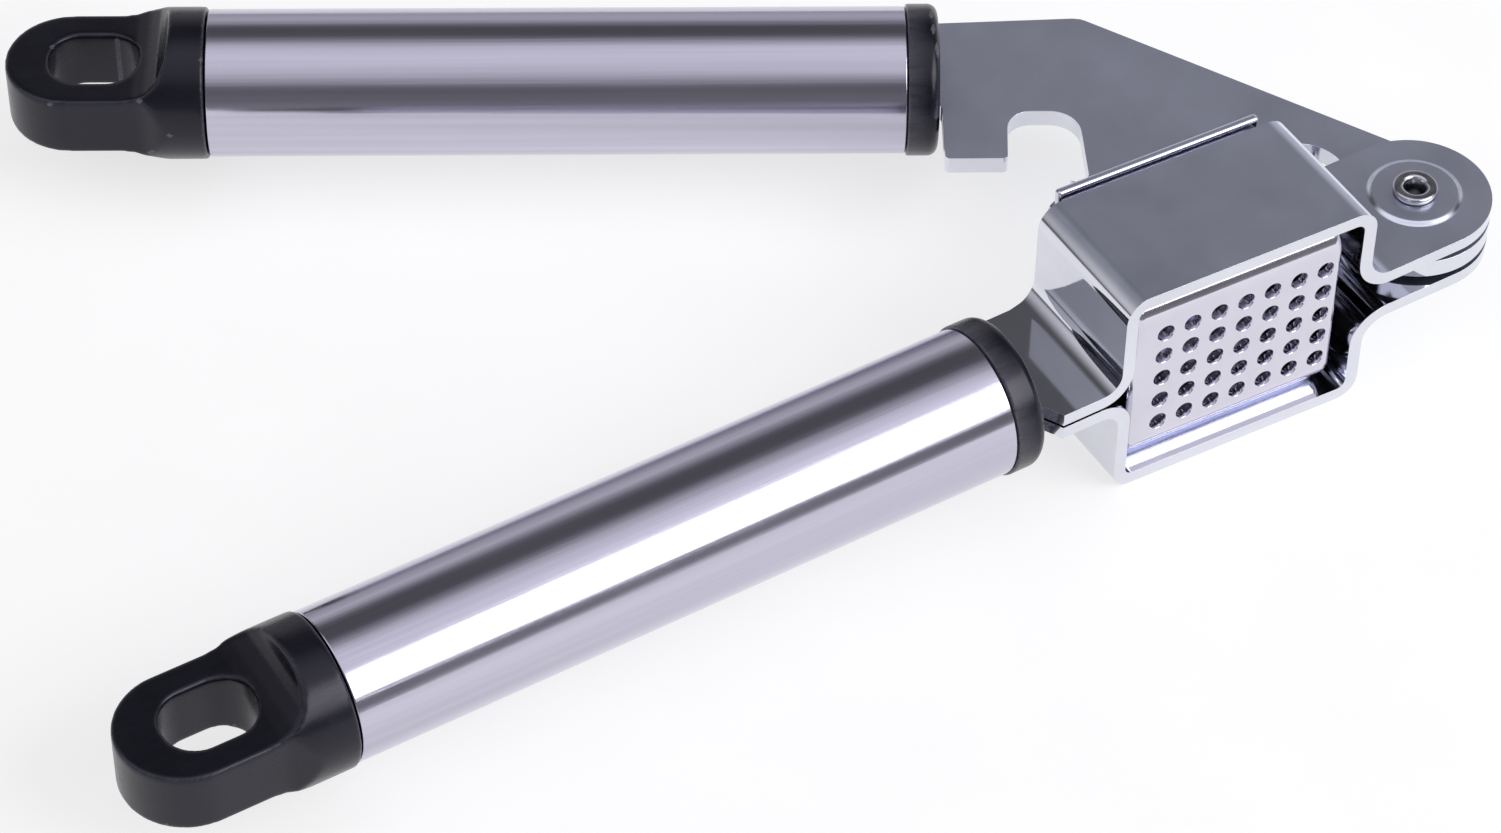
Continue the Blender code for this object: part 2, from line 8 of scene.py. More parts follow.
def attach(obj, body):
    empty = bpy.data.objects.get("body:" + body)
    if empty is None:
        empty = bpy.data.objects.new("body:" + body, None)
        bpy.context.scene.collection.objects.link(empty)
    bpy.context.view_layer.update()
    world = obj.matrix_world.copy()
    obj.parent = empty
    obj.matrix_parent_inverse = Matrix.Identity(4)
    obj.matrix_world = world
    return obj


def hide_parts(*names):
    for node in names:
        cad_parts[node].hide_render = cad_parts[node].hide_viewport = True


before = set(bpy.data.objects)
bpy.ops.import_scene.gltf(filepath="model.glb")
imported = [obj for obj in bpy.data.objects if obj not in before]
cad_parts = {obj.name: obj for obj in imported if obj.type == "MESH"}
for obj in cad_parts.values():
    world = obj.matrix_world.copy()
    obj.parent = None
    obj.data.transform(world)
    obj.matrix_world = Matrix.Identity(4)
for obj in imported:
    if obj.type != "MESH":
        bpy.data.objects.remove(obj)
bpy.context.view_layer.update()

# ------------------------------------------------------------------ sizes
# Millimetres. u runs from the pivot along a handle, v across it towards the
# loading side, z up the pivot from the middle plane of the press.
MM = 0.001
PIVOT = Vector((0.032, 0.0, 0.016))
OPEN_DEG = 30.3
CLOSED_DEG = 2.4
SWING_RATIO = -0.25
HEAD_TURN_DEG = 2.6

TUBE_R = 9.5
TUBE_BORE_R = 8.5
MOULDED_R = 9.8
COLLAR_FACE_U = 58.8
COLLAR_RIM_R = 1.3
TUBE_START_U = 63.0
TUBE_END_U = 152.5
CAP_TIP_U = 178.6
FRAME_REACH = 2.1
FRAME_AXIS_V = 0.76
ARM_AXIS_V = 25.6
SPIGOT_R = 8.2
COLLAR_SPIGOT_END_U = 77.0
CAP_SPIGOT_START_U = 141.0
END_GAP = 0.15
TANG_END_U = 75.5
TANG_HALF_WIDTH = 6.4
TANG_PIN_U = 69.5
TANG_PIN_R = 1.5
FIT = 0.3

TONGUE_HALF_WIDTH = 8.4
TONGUE_HALF_THICK = 4.35
FLARE_START_U = 157.4
SCOOP = ((157.1, 13.0), (157.3, 9.8), (157.8, 8.0), (158.7, 6.5),
         (160.2, 5.3), (161.9, 4.6), (163.5, TONGUE_HALF_THICK))
FLARE_LENGTH = 4.4
SLOT_CENTRE_U = 167.2
SLOT_LENGTH = 11.6
SLOT_WIDTH = 9.0
SLOT_CORNER_R = 4.2

STRIP_THICK = 1.8
BOX_HALF_HEIGHT = 16.0
TANG_MID_Z = 1.1
EAR_MID_Z = 2.95
LEFT_WALL_U = 49.0
RIGHT_WALL_U = 14.8
LOBE_R = 9.75
BOSS_R = 5.7
BOSS_RISE = 0.4
SHIM_R = 4.9
SHIM_THICK = 0.6

BASKET_NEAR_S = 17.0
BASKET_FAR_S = 47.3
BASKET_FACE_W = -9.46
BASKET_REAR_W = 11.5
BASKET_NEAR_WALL_W = 6.6
BASKET_HALF_HEIGHT = 13.9
BASKET_SHEET = 1.2
BASKET_LONG_BEND_R = 4.65
BASKET_END_BEND_R = 1.5
RIM_NEAR_S = 17.6
RIM_FAR_S = 46.6
HOLE_PITCH = 3.84
HOLE_R = 1.18
HOLE_COLUMNS = 7
HOLE_ROWS = 5
HOLE_CENTRE_S = 31.3

ARM_HALF_THICK = 1.25
PIVOT_R = 2.2
PLUNGER_PIN_S = 32.4
PLUNGER_PIN_W = -0.5
PLUNGER_HALF_LENGTH = 12.6
PLUNGER_HALF_HEIGHT = 12.0
PLUNGER_DEPTH = 7.16
PLUNGER_PLATE = 2.0
PLUNGER_CHEEK = 1.5
PLUNGER_PIN_R = 1.6
BLADE_LOBE_R = 4.6

# ------------------------------------------------------- studio and camera
# Degrees above the floor, from the viewer's side over the top to the far side, and light level.
STUDIO_ROOM = ((0, 0.25), (30, 0.15), (60, 0.8), (90, 1.0), (120, 0.1), (135, 0.1), (160, 0.6), (180, 0.4))
VIEWER_SIDE = (-0.526, -0.851, 0.0)
WORLD_LEVEL = 1.0
KEY_DIRECTION = (0.363, -0.70, 0.62)
KEY_DISTANCE = 1.0
KEY_SIZE = (0.8, 0.62)
KEY_POWER = 6.0
FLOOR_GLOW = 0.66

CAMERA_LENS = 123.89
CAMERA_SHIFT = (0.01066, 0.00053)
CAMERA_FROM_PIVOT = (-0.3189, -0.3542, 0.4525)
CAMERA_HEADING_DEG = 31.726
CAMERA_DOWN_DEG = 46.31
CAMERA_ROLL_DEG = 0.715


# --------------------------------------------------------------- outlines
def arc(centre, radius, start_deg, end_deg, steps):
    points = []
    for i in range(steps + 1):
        angle = math.radians(start_deg + (end_deg - start_deg) * i / steps)
        points.append((centre[0] + radius * math.cos(angle), centre[1] + radius * math.sin(angle)))
    return points


def fillet(before, here, after, radius, steps):
    """Points of the arc that rounds one corner."""
    corner = Vector(here)
    back = (Vector(before) - corner).normalized()
    ahead = (Vector(after) - corner).normalized()
    half = 0.5 * back.angle(ahead)
    reach = radius / math.tan(half)
    centre = corner + (back + ahead).normalized() * (radius / math.sin(half))
    first = corner + back * reach - centre
    last = corner + ahead * reach - centre
    turn = first.angle_signed(last)
    return [tuple(centre + Matrix.Rotation(-turn * k / steps, 2) @ first) for k in range(steps + 1)]


def rounded(corners, steps=10):
    """Closed outline through (x, y, radius) corners."""
    outline = []
    count = len(corners)
    for i, (x, y, radius) in enumerate(corners):
        if radius <= 0.0:
            outline.append((x, y))
        else:
            outline += fillet(corners[i - 1][:2], (x, y), corners[(i + 1) % count][:2], radius, steps)
    return outline


def bent_band(path, thickness, steps=18):
    """Closed outline of a sheet of even thickness along (x, y, radius) corners."""
    line = []
    for i, (x, y, radius) in enumerate(path):
        if i in (0, len(path) - 1):
            line.append((x, y))
        else:
            line += fillet(path[i - 1][:2], (x, y), path[i + 1][:2], radius, steps)
    one_side, other_side = [], []
    for i, point in enumerate(line):
        along = (Vector(line[min(i + 1, len(line) - 1)]) - Vector(line[max(i - 1, 0)])).normalized()
        across = Vector((-along.y, along.x)) * (0.5 * thickness)
        one_side.append(tuple(Vector(point) + across))
        other_side.append(tuple(Vector(point) - across))
    return one_side + other_side[::-1]


# ----------------------------------------------------------------- solids
def solid_from(bm):
    bmesh.ops.recalc_face_normals(bm, faces=bm.faces[:])
    mesh = bpy.data.meshes.new("solid")
    bm.to_mesh(mesh)
    bm.free()
    obj = bpy.data.objects.new("solid", mesh)
    bpy.context.scene.collection.objects.link(obj)
    return obj


def prism(outline, low, high, axes="uvz"):
    """Straight solid over a closed outline; the last letter of axes is its height."""
    place = {
        "uvz": lambda a, b, c: (-a, b, c),
        "uzv": lambda a, b, c: (-a, c, b),
        "vzu": lambda a, b, c: (-c, a, b),
    }[axes]
    bm = bmesh.new()
    bottom = [bm.verts.new(place(a, b, low)) for a, b in outline]
    top = [bm.verts.new(place(a, b, high)) for a, b in outline]
    bm.faces.new(bottom)
    bm.faces.new(top[::-1])
    count = len(outline)
    for i in range(count):
        j = (i + 1) % count
        bm.faces.new((bottom[i], top[i], top[j], bottom[j]))
    return solid_from(bm)


def box(u_range, v_range, z_range):
    outline = [(u_range[0], v_range[0]), (u_range[1], v_range[0]),
               (u_range[1], v_range[1]), (u_range[0], v_range[1])]
    return prism(outline, z_range[0], z_range[1])


def turned(profile, axis_v=None, centre=None, steps=128):
    """Closed solid of revolution of a (distance along, radius) profile."""
    bm = bmesh.new()
    rings = []
    for i in range(steps):
        angle = 2.0 * math.pi * i / steps
        c, s = math.cos(angle), math.sin(angle)
        ring = []
        for along, radius in profile:
            if centre is None:
                ring.append(bm.verts.new((-along, axis_v + radius * c, radius * s)))
            else:
                ring.append(bm.verts.new((-centre[0] + radius * c, centre[1] + radius * s, along)))
        rings.append(ring)
    count = len(profile)
    for i in range(steps):
        near, far = rings[i], rings[(i + 1) % steps]
        for k in range(count):
            m = (k + 1) % count
            if profile[k][1] > 0.0 or profile[m][1] > 0.0:
                bm.faces.new((near[k], near[m], far[m], far[k]))
    bmesh.ops.remove_doubles(bm, verts=bm.verts[:], dist=1e-5)
    return solid_from(bm)


def rod(radius, z_range, centre, steps=64):
    start = 2.7
    return prism(arc(centre, radius, start, start + 360.0 * (steps - 1) / steps, steps - 1),
                 z_range[0], z_range[1])


def bake(obj):
    graph = bpy.context.evaluated_depsgraph_get()
    mesh = bpy.data.meshes.new_from_object(obj.evaluated_get(graph))
    obj.modifiers.clear()
    obj.data = mesh
    return obj


def combine(target, tool, operation):
    modifier = target.modifiers.new("combine", "BOOLEAN")
    modifier.operation = operation
    modifier.solver = "EXACT"
    modifier.object = tool
    bake(target)
    bpy.data.objects.remove(tool, do_unlink=True)
    return target


def cut(target, tool):
    return combine(target, tool, "DIFFERENCE")


def add(target, tool):
    return combine(target, tool, "UNION")


def keep(target, tool):
    return combine(target, tool, "INTERSECT")


def soften(obj, width, segments=3, angle_deg=30.0):
    """Rounds every edge sharper than the angle, and keeps the flats flat to the eye."""
    bevel = obj.modifiers.new("edge", "BEVEL")
    bevel.width = width
    bevel.segments = segments
    bevel.limit_method = "ANGLE"
    bevel.angle_limit = math.radians(angle_deg)
    bevel.miter_outer = "MITER_ARC"
    bake(obj)
    return obj


def mould(obj, voxel, smooth_steps):
    """Moulded plastic: the whole skin is remeshed evenly and its edges are melted a little."""
    remesh = obj.modifiers.new("skin", "REMESH")
    remesh.mode = "VOXEL"
    remesh.voxel_size = voxel
    remesh.adaptivity = 0.0
    smooth = obj.modifiers.new("melt", "SMOOTH")
    smooth.factor = 0.5
    smooth.iterations = smooth_steps
    return bake(obj)


def slide(obj, reach):
    """Moves a solid outwards along the frame handle."""
    obj.data.transform(Matrix.Translation((-reach, 0.0, 0.0)))
    return obj


def place(obj, name, body, nodes, slot, material, open_deg=0.0, at=(0.0, 0.0), weighted=True):
    """Turns a solid about its own upright axis, scales it to metres and hangs it on its body."""
    obj.data.transform(Matrix.Rotation(-math.radians(open_deg), 4, "Z"))
    obj.data.transform(Matrix.Scale(MM, 4))
    obj.name = name
    obj.data.name = name
    obj.data.materials.clear()
    obj.data.materials.append(material)
    for polygon in obj.data.polygons:
        polygon.material_index = 0
    obj.data.shade_smooth()
    if weighted:
        modifier = obj.modifiers.new("normals", "WEIGHTED_NORMAL")
        modifier.mode = "FACE_AREA"
        modifier.weight = 50
        modifier.keep_sharp = True
        obj.data.set_sharp_from_angle(angle=math.radians(50.0))
    obj.location = PIVOT + Vector((-at[0], at[1], 0.0)) * MM
    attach(obj, body)
    if nodes:
        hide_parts(*nodes)
    return obj


# -------------------------------------------------------------- materials
def set_stops(ramp, stops):
    """Fills a colour ramp with (position, colour) stops given in rising order."""
    elements = ramp.elements
    while len(elements) > 1:
        elements.remove(elements[-1])
    elements[0].position = stops[0][0]
    elements[0].color = (*stops[0][1], 1.0)
    for position, colour in stops[1:]:
        elements.new(position).color = (*colour, 1.0)


class Nodes:
    """A little helper that strings shader nodes together."""

    def __init__(self, name):
        self.material = bpy.data.materials.new(name)
        self.material.use_nodes = True
        self.tree = self.material.node_tree
        self.shader = self.tree.nodes["Principled BSDF"]

    def node(self, kind, **values):
        made = self.tree.nodes.new(kind)
        for key, value in values.items():
            if hasattr(made, key):
                setattr(made, key, value)
            else:
                made.inputs[key].default_value = value
        return made

    def link(self, a, b):
        self.tree.links.new(a, b)

    def coords(self, scale, turn_deg=0.0):
        """Object coordinates, stretched along a handle that lies turn_deg round from the frame's."""
        source = self.node("ShaderNodeTexCoord")
        turned_back = self.node("ShaderNodeMapping")
        turned_back.inputs["Rotation"].default_value = (0.0, 0.0, math.radians(turn_deg))
        mapping = self.node("ShaderNodeMapping")
        mapping.inputs["Scale"].default_value = scale
        self.link(source.outputs["Object"], turned_back.inputs["Vector"])
        self.link(turned_back.outputs["Vector"], mapping.inputs["Vector"])
        return mapping.outputs["Vector"]

    def noise(self, vector, scale, detail=4.0, roughness=0.55, distortion=0.0):
        made = self.node("ShaderNodeTexNoise")
        made.inputs["Scale"].default_value = scale
        made.inputs["Detail"].default_value = detail
        made.inputs["Roughness"].default_value = roughness
        made.inputs["Distortion"].default_value = distortion
        self.link(vector, made.inputs["Vector"])
        return made.outputs["Fac"]

    def ramp(self, factor, stops):
        made = self.node("ShaderNodeValToRGB")
        set_stops(made.color_ramp, [(at, colour if len(colour) == 3 else colour * 3) for at, colour in stops])
        self.link(factor, made.inputs["Fac"])
        return made.outputs["Color"]

    def outer_flat(self, least_height):
        """1 on flat faces square to the pivot axis that look away from the middle plane, where
        their height above that plane is at least least_height (metres)."""
        source = self.node("ShaderNodeTexCoord")
        facing = self.node("ShaderNodeSeparateXYZ")
        where = self.node("ShaderNodeSeparateXYZ")
        side = self.node("ShaderNodeMath", operation="MULTIPLY")
        size = self.node("ShaderNodeMath", operation="ABSOLUTE")
        outward = self.node("ShaderNodeMath", operation="GREATER_THAN")
        outward.inputs[1].default_value = least_height
        both = self.node("ShaderNodeMath", operation="MULTIPLY")
        self.link(source.outputs["Normal"], facing.inputs["Vector"])
        self.link(source.outputs["Object"], where.inputs["Vector"])
        self.link(facing.outputs["Z"], side.inputs[0])
        self.link(where.outputs["Z"], side.inputs[1])
        self.link(facing.outputs["Z"], size.inputs[0])
        self.link(side.outputs["Value"], outward.inputs[0])
        self.link(outward.outputs["Value"], both.inputs[0])
        self.link(self.ramp(size.outputs["Value"], [(0.78, (0.0,)), (0.95, (1.0,))]), both.inputs[1])
        return both.outputs["Value"]

    def blend(self, share, low, high):
        made = self.node("ShaderNodeMix", data_type="RGBA")
        self.link(share, made.inputs[0])
        self.link(low, made.inputs[6])
        self.link(high, made.inputs[7])
        return made.outputs[2]

    def bump(self, height, strength, distance, normal=None):
        made = self.node("ShaderNodeBump")
        made.inputs["Strength"].default_value = strength
        made.inputs["Distance"].default_value = distance
        self.link(height, made.inputs["Height"])
        if normal is not None:
            self.link(normal, made.inputs["Normal"])
        return made.outputs["Normal"]

    def finish(self, colour=None, roughness=None, normal=None):
        if colour is not None:
            self.link(colour, self.shader.inputs["Base Color"])
        if roughness is not None:
            self.link(roughness, self.shader.inputs["Roughness"])
        if normal is not None:
            self.link(normal, self.shader.inputs["Normal"])
        return self.material


def polished_plate(name, tint, rough_low, rough_high, ripple, satin_height, turn_deg=0.0):
    """Bright chromed sheet with faint rolling waviness, polish haze and fine lines. Its outward
    flats from satin_height (metres) up are satin and a little bluer."""
    n = Nodes(name)
    n.shader.inputs["Metallic"].default_value = 1.0
    even = n.coords((1.0, 1.0, 1.0))
    along = n.coords((0.10, 1.0, 1.0), turn_deg)
    haze = n.noise(even, 90.0, 5.0, 0.6)
    lines = n.noise(along, 4200.0, 4.0, 0.6)
    wave = n.noise(even, 55.0, 2.0, 0.4)
    darker = tuple(0.92 * c for c in tint)
    colour = n.ramp(haze, [(0.3, darker), (0.7, tint)])
    flats = n.outer_flat(satin_height)
    colour = n.blend(flats, colour, n.ramp(haze, [(0.3, (0.70, 0.73, 0.87)), (0.7, (0.76, 0.79, 0.95))]))
    polished = n.ramp(haze, [(0.32, (rough_low,)), (0.75, (rough_high,))])
    satin = n.ramp(haze, [(0.32, (0.32,)), (0.75, (0.37,))])
    rough = n.blend(flats, polished, satin)
    normal = n.bump(wave, 0.35, ripple)
    normal = n.bump(lines, 0.05, 0.00002, normal)
    return n.finish(colour, rough, normal)


def brushed_tube(name, turn_deg=0.0):
    """Drawn stainless tube: long fine draw lines and soft patches of duller sheen."""
    n = Nodes(name)
    n.shader.inputs["Metallic"].default_value = 1.0
    grain_space = n.coords((0.012, 1.0, 1.0), turn_deg)
    grain = n.noise(grain_space, 3000.0, 4.0, 0.65)
    broad = n.noise(grain_space, 520.0, 3.0, 0.5)
    patches = n.noise(n.coords((0.35, 1.0, 1.0), turn_deg), 60.0, 4.0, 0.6)
    colour = n.ramp(broad, [(0.28, (0.49, 0.471, 0.567)), (0.72, (0.60, 0.577, 0.693))])
    rough = n.ramp(patches, [(0.3, (0.13,)), (0.75, (0.20,))])
    normal = n.bump(broad, 0.20, 0.00012)
    normal = n.bump(grain, 0.22, 0.00003, normal)
    return n.finish(colour, rough, normal)


def rivet_metal(name):
    """Bright rivet steel with a fine uneven grain."""
    n = Nodes(name)
    n.shader.inputs["Metallic"].default_value = 1.0
    even = n.coords((1.0, 1.0, 1.0))
    grain = n.noise(even, 700.0, 4.0, 0.6)
    colour = n.ramp(grain, [(0.3, (0.46, 0.46, 0.50)), (0.7, (0.60, 0.60, 0.64))])
    rough = n.ramp(grain, [(0.3, (0.14,)), (0.75, (0.26,))])
    normal = n.bump(grain, 0.18, 0.00006)
    return n.finish(colour, rough, normal)


def moulded_plastic(name, turn_deg=0.0):
    """Satin black moulding: very fine spark texture and faint scuffs; convex edges are painted lighter as a
    highlight.
    """
    n = Nodes(name)
    n.shader.inputs["Metallic"].default_value = 0.0
    n.shader.inputs["IOR"].default_value = 1.45
    n.shader.inputs["Specular IOR Level"].default_value = 0.45
    n.shader.inputs["Specular Tint"].default_value = (0.88, 0.86, 1.0, 1.0)
    even = n.coords((1.0, 1.0, 1.0))
    spark = n.noise(even, 2600.0, 3.0, 0.6)
    cloud = n.noise(even, 120.0, 5.0, 0.65)
    scuff = n.noise(n.coords((0.25, 1.0, 1.0), turn_deg), 900.0, 4.0, 0.7, 0.6)
    colour = n.ramp(cloud, [(0.35, (0.0045, 0.0045, 0.0085)), (0.75, (0.0080, 0.0080, 0.0135))])
    # Painted highlight: convex edges, found by pointiness, are painted lighter, and the scuff noise varies
    # that lighter colour.
    painted_edge_highlight = n.ramp(n.node("ShaderNodeNewGeometry").outputs["Pointiness"], [(0.515, (0.0,)), (0.555, (1.0,))])
    colour = n.blend(painted_edge_highlight, colour, n.ramp(scuff, [(0.3, (0.05, 0.05, 0.065)), (0.7, (0.11, 0.11, 0.135))]))
    rough = n.ramp(scuff, [(0.35, (0.24,)), (0.72, (0.32,))])
    normal = n.bump(cloud, 0.08, 0.00020)
    normal = n.bump(spark, 0.12, 0.00001, normal)
    return n.finish(colour, rough, normal)


STRIP = polished_plate("chromed_strip", (0.76, 0.77, 0.84), 0.05, 0.10, 0.00010, 0.0024)
ARM_PLATE = polished_plate("chromed_arm_plate", (0.76, 0.77, 0.84), 0.05, 0.10, 0.00010, 0.0, OPEN_DEG)
SHEET = polished_plate("chromed_sheet", (0.70, 0.68, 0.77), 0.08, 0.14, 0.00012, 0.0)
TUBE = brushed_tube("drawn_tube")
ARM_TUBE = brushed_tube("drawn_tube_of_the_arm", OPEN_DEG)
RIVET = rivet_metal("rivet_steel")
PLASTIC = moulded_plastic("satin_black_plastic")
ARM_PLASTIC = moulded_plastic("satin_black_plastic_of_the_arm", OPEN_DEG)


# ------------------------------------------------------------------ frame
def head_line(u, w):
    turn = math.radians(HEAD_TURN_DEG)
    return (w + u * math.sin(turn)) / math.cos(turn)


def strip_outline():
    tang_end = TANG_END_U + FRAME_REACH
    neck_front = FRAME_AXIS_V - TANG_HALF_WIDTH
    neck_rear = FRAME_AXIS_V + TANG_HALF_WIDTH
    front_w, rear_w = -10.25, 9.15
    outline = [
        (tang_end, neck_front),
        (59.9, neck_front),
        (59.4, neck_front - 0.4),
        (58.2, -8.3),
        (50.0, -8.3),
        (47.0, head_line(47.0, front_w)),
        (17.0, head_line(17.0, front_w)),
        (12.0, -LOBE_R),
    ]
    outline += arc((0.0, 0.0), LOBE_R, 270.0, 90.0, 60)
    outline += [
        (9.0, LOBE_R),
        (17.0, head_line(17.0, rear_w)),
        (47.0, head_line(47.0, rear_w)),
        (50.0, 11.05),
        (51.8, 10.6),
        (54.0, 10.15),
        (58.2, 10.1),
        (59.4, neck_rear + 0.4),
        (59.9, neck_rear),
        (tang_end, neck_rear),
    ]
    return outline


def side_strip(side):
    top_mid = BOX_HALF_HEIGHT - 0.5 * STRIP_THICK
    path = [
        (TANG_END_U + FRAME_REACH, TANG_MID_Z, 0.0),
        (LEFT_WALL_U, TANG_MID_Z, 3.5),
        (LEFT_WALL_U, top_mid, 2.1),
        (RIGHT_WALL_U, top_mid, 2.1),
        (RIGHT_WALL_U, EAR_MID_Z, 4.2),
        (-12.0, EAR_MID_Z, 0.0),
    ]
    strip = prism(bent_band(path, STRIP_THICK), -14.0, 14.0, "uzv")
    strip = keep(strip, prism(strip_outline(), -1.0, 17.0))
    soften(strip, 0.28, 3, 35.0)
    ear_top = EAR_MID_Z + 0.5 * STRIP_THICK
    ear_bottom = EAR_MID_Z - 0.5 * STRIP_THICK
    ring = [(ear_top - 0.3, 0.0), (ear_top - 0.3, BOSS_R + 0.55)]
    for i in range(9):
        t = i / 8.0
        ring.append((ear_top + BOSS_RISE * (0.5 - 0.5 * math.cos(math.pi * t)), BOSS_R + 0.5 - 0.9 * t))
    ring.append((ear_top + BOSS_RISE, 0.0))
    ring[2] = (ear_top - 0.02, BOSS_R + 0.5)
    strip = add(strip, turned(ring, centre=(0.0, 0.0), steps=90))
    pocket = turned([(ear_bottom - 1.0, 0.0), (ear_bottom - 1.0, SHIM_R + FIT),
                     (ear_bottom + BOSS_RISE, SHIM_R + FIT), (ear_bottom + BOSS_RISE, 0.0)],
                    centre=(0.0, 0.0), steps=72)
    strip = cut(strip, pocket)
    strip = cut(strip, rod(PIVOT_R + FIT, (0.5, 6.0), (0.0, 0.0)))
    strip = cut(strip, rod(TANG_PIN_R + FIT, (-1.0, 4.0), (TANG_PIN_U + FRAME_REACH, FRAME_AXIS_V), 24))
    if side < 0:
        strip.data.transform(Matrix.Scale(-1.0, 4, (0.0, 0.0, 1.0)))
        strip.data.flip_normals()
    return strip


def bevelled_cup(near, far, face, rear, half_height, long_radius, end_radius, long_steps, end_steps):
    block = box((near, far), (face, rear), (-half_height, half_height))
    bm = bmesh.new()
    bm.from_mesh(block.data)
    long_edges = []
    for edge in bm.edges:
        a, b = edge.verts[0].co, edge.verts[1].co
        if abs(a.y - face) < 1e-4 and abs(b.y - face) < 1e-4 and abs(a.x - b.x) > 1.0:
            long_edges.append(edge)
    bmesh.ops.bevel(bm, geom=long_edges, offset=long_radius, segments=long_steps, profile=0.5, affect="EDGES")
    end_edges = []
    for edge in bm.edges:
        a, b = edge.verts[0].co, edge.verts[1].co
        at_end = abs(a.x - b.x) < 1e-4 and min(abs(a.x + near), abs(a.x + far)) < 1e-4
        at_rear = abs(a.y - rear) < 1e-4 and abs(b.y - rear) < 1e-4
        if at_end and not at_rear:
            end_edges.append(edge)
    bmesh.ops.bevel(bm, geom=end_edges, offset=end_radius, segments=end_steps, profile=0.5, affect="EDGES")
    bmesh.ops.recalc_face_normals(bm, faces=bm.faces[:])
    bm.to_mesh(block.data)
    bm.free()
    return block


def hole_punches():
    """Punches with a small lead-in, so each hole gets a rolled outer lip."""
    bm = bmesh.new()
    steps = 28
    face = BASKET_FACE_W
    profile = [(-1.0, HOLE_R + 1.0), (0.0, HOLE_R + 0.12), (0.04, HOLE_R + 0.05), (0.12, HOLE_R),
               (BASKET_SHEET + 1.0, HOLE_R)]
    for column in range(HOLE_COLUMNS):
        for row in range(HOLE_ROWS):
            s = HOLE_CENTRE_S + (column - 0.5 * (HOLE_COLUMNS - 1)) * HOLE_PITCH
            z = (row - 0.5 * (HOLE_ROWS - 1)) * HOLE_PITCH
            rings = []
            for depth, radius in profile:
                ring = []
                for k in range(steps):
                    angle = 2.0 * math.pi * k / steps
                    ring.append(bm.verts.new((-s + radius * math.cos(angle), face + depth,
                                              z + radius * math.sin(angle))))
                rings.append(ring)
            bm.faces.new(rings[0])
            bm.faces.new(rings[-1][::-1])
            for near, far in zip(rings, rings[1:]):
                for k in range(steps):
                    m = (k + 1) % steps
                    bm.faces.new((near[k], far[k], far[m], near[m]))
    return solid_from(bm)


def basket():
    cup = bevelled_cup(BASKET_NEAR_S, BASKET_FAR_S, BASKET_FACE_W, BASKET_REAR_W,
                       BASKET_HALF_HEIGHT, BASKET_LONG_BEND_R, BASKET_END_BEND_R, 20, 8)
    sheet = BASKET_SHEET
    hollow = bevelled_cup(BASKET_NEAR_S + sheet, BASKET_FAR_S - sheet, BASKET_FACE_W + sheet,
                          BASKET_REAR_W + 5.0, BASKET_HALF_HEIGHT - sheet,
                          BASKET_LONG_BEND_R - sheet, BASKET_END_BEND_R - 0.9, 16, 5)
    cup = cut(cup, hollow)
    cup = cut(cup, box((BASKET_NEAR_S - 1.0, BASKET_NEAR_S + sheet + 0.5),
                       (BASKET_NEAR_WALL_W, BASKET_REAR_W + 1.0),
                       (-BASKET_HALF_HEIGHT + 1.3, BASKET_HALF_HEIGHT - 1.3)))
    soften(cup, 0.2, 3, 40.0)
    for side in (-1, 1):
        z_range = sorted((side * (BASKET_HALF_HEIGHT - 0.9), side * BOX_HALF_HEIGHT))
        rim = box((RIM_NEAR_S, RIM_FAR_S), (BASKET_REAR_W - sheet, BASKET_REAR_W), z_range)
        cup = add(cup, soften(rim, 0.45, 6))
    return cut(cup, hole_punches())


def pivot_rivet():
    seat = EAR_MID_Z + 0.5 * STRIP_THICK + BOSS_RISE + 0.15
    top = seat + 0.9
    head_r, bore_r = 2.9, 1.25
    half = [(seat, PIVOT_R), (seat, head_r - 0.12)]
    half += [(z, r) for r, z in arc((head_r - 0.45, top - 0.45), 0.45, -30.0, 90.0, 10)]
    half += [(z, r) for r, z in arc((bore_r + 0.75, top - 0.55), 0.55, 90.0, 165.0, 8)]
    half += [(top - 1.1, bore_r), (top - 2.2, bore_r - 0.12)]
    profile = [(-z, r) for z, r in half[::-1]] + half
    return turned(profile, centre=(0.0, 0.0), steps=72)


def pivot_shim(side):
    low = EAR_MID_Z - 0.5 * STRIP_THICK + BOSS_RISE - FIT - SHIM_THICK
    high = low + SHIM_THICK
    bore_r = PIVOT_R + FIT
    profile = [(side * low, bore_r), (side * low, SHIM_R), (side * high, SHIM_R), (side * high, bore_r)]
    return soften(turned(profile, centre=(0.0, 0.0), steps=64), 0.08, 2)


# ---------------------------------------------------------------- handles
def handle_tube(axis_v):
    start, end = TUBE_START_U, TUBE_END_U
    stations = 24
    profile = [(start, TUBE_BORE_R), (start, TUBE_R - 0.18),
               (start + 0.05, TUBE_R - 0.06), (start + 0.2, TUBE_R)]
    for i in range(1, stations):
        profile.append((start + (end - start) * i / stations, TUBE_R))
    profile += [(end - 0.2, TUBE_R), (end - 0.05, TUBE_R - 0.06), (end, TUBE_R - 0.18), (end, TUBE_BORE_R)]
    return turned(profile, axis_v=axis_v, steps=160)


